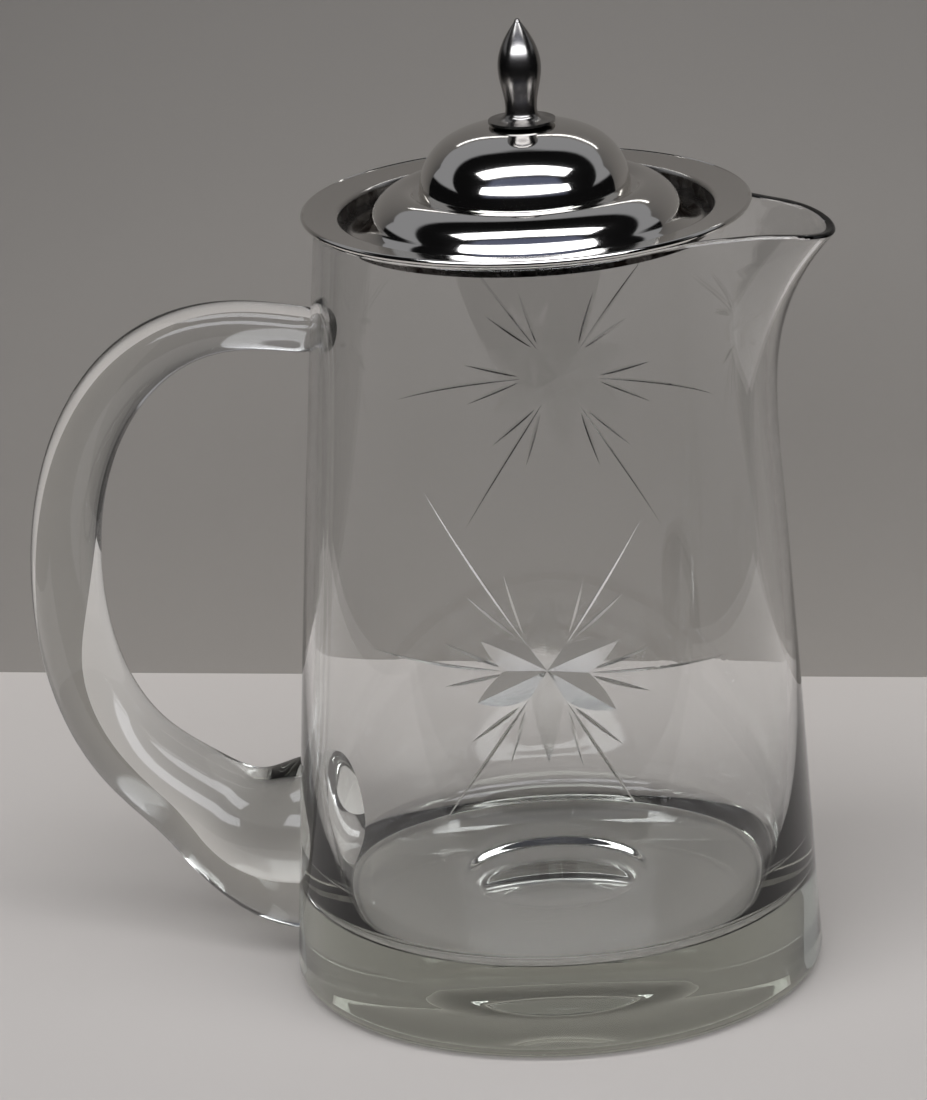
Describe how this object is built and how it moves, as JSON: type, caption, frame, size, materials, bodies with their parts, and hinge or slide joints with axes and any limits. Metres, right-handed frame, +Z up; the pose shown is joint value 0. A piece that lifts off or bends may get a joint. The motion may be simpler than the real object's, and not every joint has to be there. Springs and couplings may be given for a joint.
{
  "type": "lidded cream pitcher",
  "caption": "Tapered clear-glass cream pitcher with heavy base, pulled lip, loop handle and cut stars, and a loose stepped metal lid with turned finial.",
  "frame": {"origin": "centre of the glass foot, in the plane of the table it stands on", "axes": "+Z up along the jug's axis, +X towards the pouring lip, handle towards -X"},
  "size_m": [0.1429, 0.0896, 0.1643],
  "materials": {
    "glass": "clear, fire-polished, with ground star cuts",
    "silver": "polished silver plate",
    "steel": "plain turned"
  },
  "bodies": {
    "jug": {"glass_body": "glass", "handle": "glass"},
    "lid": {"lid_shell": "silver", "finial": "silver", "finial_washer": "steel", "finial_nut": "steel"}
  },
  "joints": [
    {"name": "lid_lift", "type": "slide", "parent": "jug", "child": "lid", "axis": [0, 0, 1], "range_m": [0, 0.07]}
  ]
}
